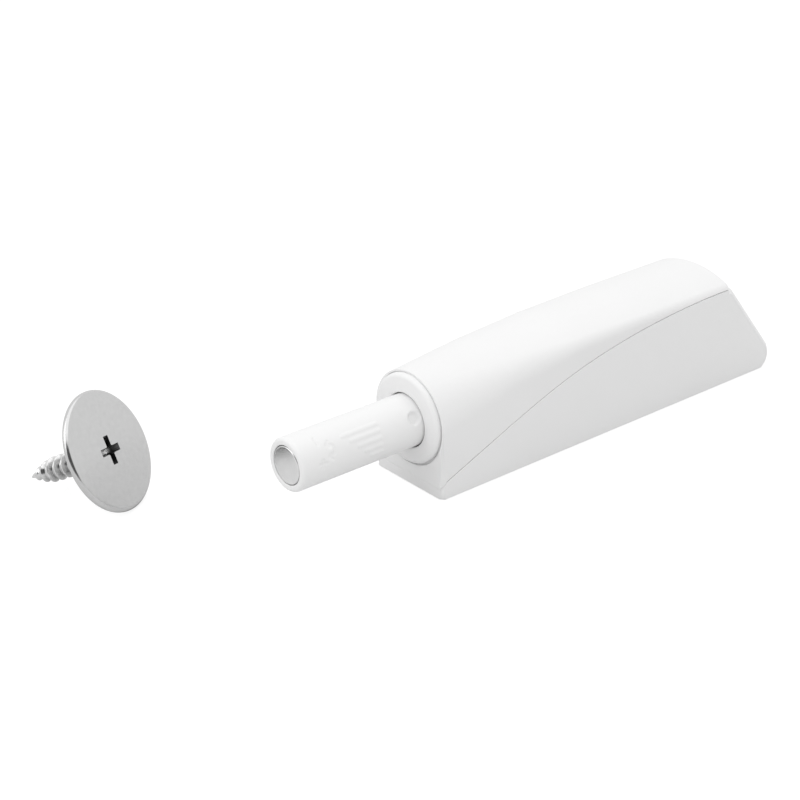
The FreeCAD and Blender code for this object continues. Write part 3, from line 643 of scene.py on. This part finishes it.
def strike_plate():
    """The round plate and its screw as one plated piece."""
    face_edge = plate_radius - rim_radius
    back = -plate_thickness
    profile = [(0.0, 0.0), (0.0, face_edge * 0.5), (0.0, face_edge - rim_margin)]
    profile += quarter(-rim_radius, face_edge, rim_radius, 0, 90)
    profile += quarter(back + rim_radius, face_edge, rim_radius, 90, 180)
    profile += [(back, face_edge - rim_margin), (back, root_radius), (back, 0.0)]
    form = bmesh.new()
    lathe(form, profile, plate_sides)
    mesh = mesh_from(form, "strike_plate")
    mesh = combined(mesh, screw_form(), "UNION")
    for cut in (recess_arm(recess_turn), recess_arm(recess_turn + 90.0), recess_cone()):
        mesh = combined(mesh, cut, "DIFFERENCE")
    # Recess walls get a dark copy of the nickel as painted shade, the thread a lighter copy as
    # painted highlight.
    colour_zone_at = [strike_colour_zone(face) for face in mesh.polygons]
    mesh.transform(strike_frame())
    soften_edges(mesh, plate_crease)
    new_piece("plated_strike_plate", mesh, "strike_plate", strike_nickel)
    mesh.materials.append(recess_painted_shade)
    mesh.materials.append(thread_nickel_painted_light)
    mesh.polygons.foreach_set("material_index", colour_zone_at)


# Magnet cap: flush steel disc with a rounded edge, seen in the plunger's tip
axis_height = 10.2
cap_face = -53.85
cap_mouth = -48.25
cap_radius = 2.82
cap_edge = 0.3
cap_margin = 0.2
cap_wall = 0.3
cap_front = 0.5
cap_sides = 96
cap_crease = 32


def axis_frame():
    """The plunger's axis, in millimetres, with x as in the part."""
    return Matrix.Scale(mm, 4) @ Matrix.Translation((0, 0, axis_height))


def magnet_cap():
    """The drawn cap, closed in front, with room for the magnet behind."""
    inside = cap_radius - cap_wall
    profile = [(cap_face, 0.0), (cap_face, cap_radius - cap_edge - cap_margin)]
    profile += quarter(cap_face + cap_edge, cap_radius - cap_edge, cap_edge, 180, 90)
    profile += [(cap_mouth, cap_radius), (cap_mouth, inside),
                (cap_face + cap_front, inside), (cap_face + cap_front, 0.0)]
    form = bmesh.new()
    lathe(form, profile, cap_sides)
    mesh = mesh_from(form, "magnet_cap", axis_frame())
    soften_edges(mesh, cap_crease)
    new_piece("plated_magnet_cap", mesh, "pole_cup", cup_bright)


# Plunger sleeve: turned form with raised grips, a dimple and engraved marks. Angles are in
# degrees about its axis, from the far side over the top.
sleeve_tip = -53.9
sleeve_rear = -28.0
sleeve_radius = 3.9
sleeve_chamfer = 0.3
sleeve_sides = 240
turned_crease = 40
tip_round = 0.6
pocket_radius = 2.86
pocket_lip = 0.2
pocket_floor = -48.2
relief_radius = 2.9
relief_end = -36.0
stem_bore_radius = 2.08
stem_bore_end = -46.5
skin_spacing = 0.13
skin_margin = 0.4
grip_angles = (131.0, 146.2, 161.4, 176.6, 191.8)
grip_lengths = (6.6, 5.55, 4.5, 3.45, 2.4)
grip_end = -40.0
grip_half_width = 0.32
grip_height = 0.095
grip_skirt = 0.12
grip_slope = 0.34
dimple_place = -33.95
dimple_angle = 149.0
dimple_radius = 1.12
dimple_depth = 0.5
dimple_rim = 1.02  # a share of its radius, as is its slope
dimple_slope = 0.4
mark_depth = 0.1
mark_half_width = 0.2
mark_skirt = 0.12
mark_slope = 0.24
arrow_place = -49.0
arrow_angle = 149.0
arrow_radius = 0.85
arrow_open = -0.3
arrow_end = -0.25
arrow_barbs = ((0.5, 0.45), (0.45, -0.4))
sign_place = -50.4
sign_half = 0.55
minus_angle = 122.0
plus_angle = 171.0


def smooth_step(value):
    """An even rise from 0 to 1 with soft ends."""
    value = min(max(value, 0.0), 1.0)
    return value * value * (3 - 2 * value)


def to_segment(point, start, end):
    """Distance from a point to a straight stroke, in the sleeve's unrolled skin."""
    line = end - start
    share = min(max((point - start).dot(line) / line.length_squared, 0.0), 1.0)
    return (point - start - line * share).length


def unrolled(x, angle):
    """A place on the sleeve's skin, laid flat, in millimetres."""
    return Vector((x, math.radians(angle) * sleeve_radius))


def mark_strokes():
    """The straight strokes of the two signs and of the arrow's heads, and the arc's middle."""
    along = Vector((sign_half, 0))
    around = Vector((0, sign_half))
    minus = unrolled(sign_place, minus_angle)
    plus = unrolled(sign_place, plus_angle)
    strokes = [(minus - around, minus + around),
               (plus - around, plus + around), (plus - along, plus + along)]
    centre = unrolled(arrow_place, arrow_angle)
    for side in (-1, 1):
        end = centre + Vector((arrow_end, side * arrow_radius))
        for back, out in arrow_barbs:
            strokes.append((end, end + Vector((back, side * out))))
    return strokes, centre


strokes, arrow_centre = mark_strokes()


def skin_relief(x, angle):
    """How far the sleeve's skin stands above or below its plain cylinder."""
    point = unrolled(x, angle)
    height = 0.0
    for grip_angle, length in zip(grip_angles, grip_lengths):
        start = unrolled(grip_end - grip_half_width, grip_angle)
        end = unrolled(grip_end - length + grip_half_width, grip_angle)
        inside = grip_half_width + grip_skirt - to_segment(point, start, end)
        height = max(height, grip_height * smooth_step(inside / grip_slope))
    off = (point - unrolled(dimple_place, dimple_angle)).length / dimple_radius
    height -= dimple_depth * smooth_step((dimple_rim - off) / dimple_slope)
    nearest = min(to_segment(point, start, end) for start, end in strokes)
    from_centre = point - arrow_centre
    if from_centre.x > arrow_open:
        nearest = min(nearest, abs(from_centre.length - arrow_radius))
    inside = mark_half_width + mark_skirt - nearest
    return height - mark_depth * smooth_step(inside / mark_slope)


def plunger_sleeve():
    """The moving tip, on a fine grid so that its shallow marks have soft edges."""
    profile = [(pocket_floor, 0.0), (pocket_floor, pocket_radius)]
    lip_centre = pocket_radius + pocket_lip
    profile += quarter(sleeve_tip + pocket_lip, lip_centre, pocket_lip, -90, -180, 5)
    skin_start = sleeve_tip + tip_round
    profile += quarter(skin_start, sleeve_radius - tip_round, tip_round, 180, 90)
    count = int((sleeve_rear - skin_margin - skin_start) / skin_spacing)
    profile += [(skin_start + skin_spacing * number, sleeve_radius) for number in range(1, count)]
    profile += [(sleeve_rear - sleeve_chamfer, sleeve_radius),
                (sleeve_rear, sleeve_radius - sleeve_chamfer),
                (sleeve_rear, relief_radius), (relief_end, relief_radius),
                (relief_end, stem_bore_radius), (stem_bore_end, stem_bore_radius),
                (stem_bore_end, 0.0)]
    form = bmesh.new()
    lathe(form, profile, sleeve_sides)
    for vertex in form.verts:
        radius = math.hypot(vertex.co.y, vertex.co.z)
        if abs(radius - sleeve_radius) < tiny:
            angle = math.degrees(math.atan2(vertex.co.z, vertex.co.y)) % 360
            grown = (radius + skin_relief(vertex.co.x, angle)) / radius
            vertex.co.y *= grown
            vertex.co.z *= grown
    mesh = mesh_from(form, "plunger_sleeve", axis_frame())
    soften_edges(mesh, turned_crease)
    new_piece("moulded_plunger_sleeve", mesh, "plunger_sleeve", sleeve_white)


# Cartridge barrel: its rounded collar stands a little high in the housing's counterbore
collar_face = -32.8
collar_back = -31.05
collar_radius = 6.72
collar_round = 0.7
collar_sides = 144
collar_rise = 0.19
rise_margin = 0.5
skirt_face = -31.55
skirt_radius = 6.93
skirt_gap = 0.01
hole_radius = 4.06
hole_lip = 0.28
barrel_radius = 5.25
barrel_end = 23.0
bore_radius = 4.6
bore_start = -29.6
closing_gap = 0.0001


def cartridge_barrel():
    """The collar with its softly rounded rim and hole, and the long barrel behind it."""
    inner = collar_radius - collar_round
    profile = [(bore_start, bore_radius), (bore_start, hole_radius)]
    profile += quarter(collar_face + hole_lip, hole_radius + hole_lip, hole_lip, -90, -180, 6)
    profile += quarter(collar_face + collar_round, inner, collar_round, 180, 90, 10)
    profile += [(skirt_face, collar_radius), (skirt_face, skirt_radius),
                (collar_back, skirt_radius), (collar_back, barrel_radius),
                (barrel_end, barrel_radius), (barrel_end, bore_radius), (bore_start, bore_radius)]
    form = bmesh.new()
    lathe(form, profile, collar_sides)
    bmesh.ops.remove_doubles(form, verts=form.verts, dist=closing_gap)
    for vertex in form.verts:
        radius = math.hypot(vertex.co.y, vertex.co.z)
        if radius < collar_radius + skirt_gap:
            share = (radius - barrel_radius) / (collar_radius - barrel_radius - rise_margin)
            vertex.co.z += collar_rise * smooth_step(share)
    mesh = mesh_from(form, "cartridge_barrel", axis_frame())
    soften_edges(mesh, turned_crease)
    new_piece("moulded_cartridge", mesh, "cartridge_barrel", collar_white)


# Main spring: a smooth helix
spring_radius = 1.85
spring_start = -22.7
spring_end = 18.69
spring_turns = 10
rings_per_turn = 36
wire_radius = 0.28
wire_sides = 12


def main_spring():
    """The compression spring, held at the end cap."""
    length = spring_end - spring_start
    slope = math.atan2(length / spring_turns, 2 * math.pi * spring_radius)
    last = rings_per_turn * spring_turns
    form = bmesh.new()
    rings = []
    for step in range(last + 1):
        angle = 2 * math.pi * step / rings_per_turn
        outward = Vector((0, math.cos(angle), math.sin(angle)))
        across = Vector((
            math.cos(slope),
            math.sin(slope) * math.sin(angle),
            -math.sin(slope) * math.cos(angle),
        ))
        middle = Vector((spring_start + length * step / last, 0, 0)) + outward * spring_radius
        ring = []
        for side in range(wire_sides):
            turn = 2 * math.pi * side / wire_sides
            skin = math.cos(turn) * outward + math.sin(turn) * across
            ring.append(form.verts.new(middle + wire_radius * skin))
        rings.append(ring)
    for near, far in zip(rings, rings[1:]):
        for side in range(wire_sides):
            other = (side + 1) % wire_sides
            form.faces.new((near[side], near[other], far[other], far[side]))
    form.faces.new(rings[0])
    form.faces.new(rings[-1])
    mesh = mesh_from(form, "main_spring", axis_frame())
    soften_edges(mesh, turned_crease)
    piece = new_piece("wound_main_spring", mesh, "main_spring", wire_steel)
    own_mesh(piece)


# Pieces that stay as they come and only get a finish
finishes = {
    "end_cap": collar_white,
    "latch_slider": slider_natural,
    "pole_plate": plate_grey,
    "magnet": magnet_grey,
    "follower_pin": wire_steel,
}


def dress(node_name, material):
    """Gives a carried-over piece its finish."""
    piece = nodes[node_name]
    piece.data.materials.clear()
    piece.data.materials.append(material)


# Surroundings. The floor is a plain pale one for the light that falls on the part, and is
# lifted to white for the camera and for what is seen through something.
floor_reach = 4.0
floor_drop = 0.0001
floor_lit = grey(0.7)
floor_seen = grey(0.22)
floor_lift = 0.86


def lay_floor():
    """A plain white floor that keeps a soft shadow."""
    mesh = bpy.data.meshes.new("floor")
    sides = ((-1, -1), (1, -1), (1, 1), (-1, 1))
    corners = [(x * floor_reach, y * floor_reach, 0) for x, y in sides]
    mesh.from_pydata(corners, [], [(0, 1, 2, 3)])
    floor = bpy.data.objects.new("floor", mesh)
    floor.location.z = -floor_drop
    bpy.context.scene.collection.objects.link(floor)
    material = bpy.data.materials.new("floor white")
    material.use_nodes = True
    tree = material.node_tree
    tree.nodes.clear()
    leave = add(tree, "ShaderNodeOutputMaterial", (600, 0))
    lit = add(tree, "ShaderNodeBsdfDiffuse", (0, 100))
    preset(lit, Color=floor_lit)
    soft = add(tree, "ShaderNodeBsdfDiffuse", (0, 0))
    preset(soft, Color=floor_seen)
    glow = add(tree, "ShaderNodeEmission", (0, -120))
    preset(glow, Strength=floor_lift)
    lifted = add(tree, "ShaderNodeAddShader", (200, -60))
    path = add(tree, "ShaderNodeLightPath", (-400, 300))
    seen = arithmetic(tree, (-200, 300), "MAXIMUM")
    choose = add(tree, "ShaderNodeMixShader", (400, 0))
    feed(
        tree,
        (soft.outputs[0], lifted.inputs[0]),
        (glow.outputs[0], lifted.inputs[1]),
        (path.outputs["Is Camera Ray"], seen.inputs[0]),
        (path.outputs["Is Transmission Ray"], seen.inputs[1]),
        (seen.outputs[0], choose.inputs[0]),
        (lit.outputs[0], choose.inputs[1]),
        (lifted.outputs[0], choose.inputs[2]),
        (choose.outputs[0], leave.inputs["Surface"]),
    )
    mesh.materials.append(material)


def soft_lamp(name, place, target, size, watts):
    """A square lamp that faces a point."""
    data = bpy.data.lights.new(name, "AREA")
    data.shape = "SQUARE"
    data.size = size
    data.energy = watts
    lamp = bpy.data.objects.new(name, data)
    lamp.location = place
    direction = Vector(target) - Vector(place)
    lamp.rotation_euler = direction.to_track_quat("-Z", "Y").to_euler()
    bpy.context.scene.collection.objects.link(lamp)


# White surroundings, and the dark room behind the photographer, which only metal mirrors.
# Its edge is given in shares of its half width and half height.
room_level = 0.89
seen_level = 1.0
mirrored_level = 0.88
dark_level = 0.08
dark_azimuth = math.radians(-125.0)
dark_elevation = math.radians(33.0)
dark_half_width = 0.9
dark_half_height = 0.46
dark_edge_start = 0.8
dark_edge_end = 1.05


def light_room():
    """White surroundings, darker behind the photographer for metal, and two soft lamps."""
    world = bpy.data.worlds.new("studio")
    bpy.context.scene.world = world
    world.use_nodes = True
    tree = world.node_tree
    sky = tree.nodes["Background"]
    preset(sky, Color=grey(1))
    path = add(tree, "ShaderNodeLightPath", (-600, 300))
    even = add(tree, "ShaderNodeMapRange", (-400, 300))
    preset(even, To_Min=room_level, To_Max=seen_level)
    places = add(tree, "ShaderNodeTexCoord", (-1200, 0))
    behind = add(tree, "ShaderNodeMapping", (-1000, 0), vector_type="TEXTURE")
    preset(behind, Rotation=(0, -dark_elevation, dark_azimuth),
           Scale=(1.0, dark_half_width, dark_half_height))
    sideways = add(tree, "ShaderNodeVectorMath", (-800, 0), operation="MULTIPLY")
    sideways.inputs[1].default_value = (0, 1, 1)
    off_centre = add(tree, "ShaderNodeVectorMath", (-600, 0), operation="LENGTH")
    mirrored = add(tree, "ShaderNodeMapRange", (-400, 0), interpolation_type="SMOOTHSTEP")
    preset(mirrored, From_Min=dark_edge_start, From_Max=dark_edge_end,
           To_Min=dark_level, To_Max=mirrored_level)
    strength = add(tree, "ShaderNodeMix", (-200, 200), data_type="FLOAT")
    feed(
        tree,
        (places.outputs["Generated"], behind.inputs["Vector"]),
        (behind.outputs["Vector"], sideways.inputs[0]),
        (sideways.outputs["Vector"], off_centre.inputs[0]),
        (off_centre.outputs["Value"], mirrored.inputs["Value"]),
        (path.outputs["Is Camera Ray"], even.inputs["Value"]),
        (path.outputs["Is Glossy Ray"], strength.inputs["Factor"]),
        (even.outputs["Result"], strength.inputs["A"]),
        (mirrored.outputs["Result"], strength.inputs["B"]),
        (strength.outputs["Result"], sky.inputs["Strength"]),
    )
    soft_lamp("overhead", place=(0.05, 0.0, 0.6), target=(0, 0, 0), size=0.8, watts=0.78)
    soft_lamp("left", place=(-0.5, 0.22, 0.42), target=(0, 0, 0.01), size=0.55, watts=0.72)


aim_camera()
for node_name, finish in finishes.items():
    dress(node_name, finish)
for node_name in ("base", "cover"):
    half = rounded_half(node_name)
    new_piece("moulded_" + node_name, half, node_name, housing_white)
cartridge_barrel()
strike_plate()
magnet_cap()
plunger_sleeve()
main_spring()
lay_floor()
light_room()
bpy.context.scene.view_settings.view_transform = "Standard"
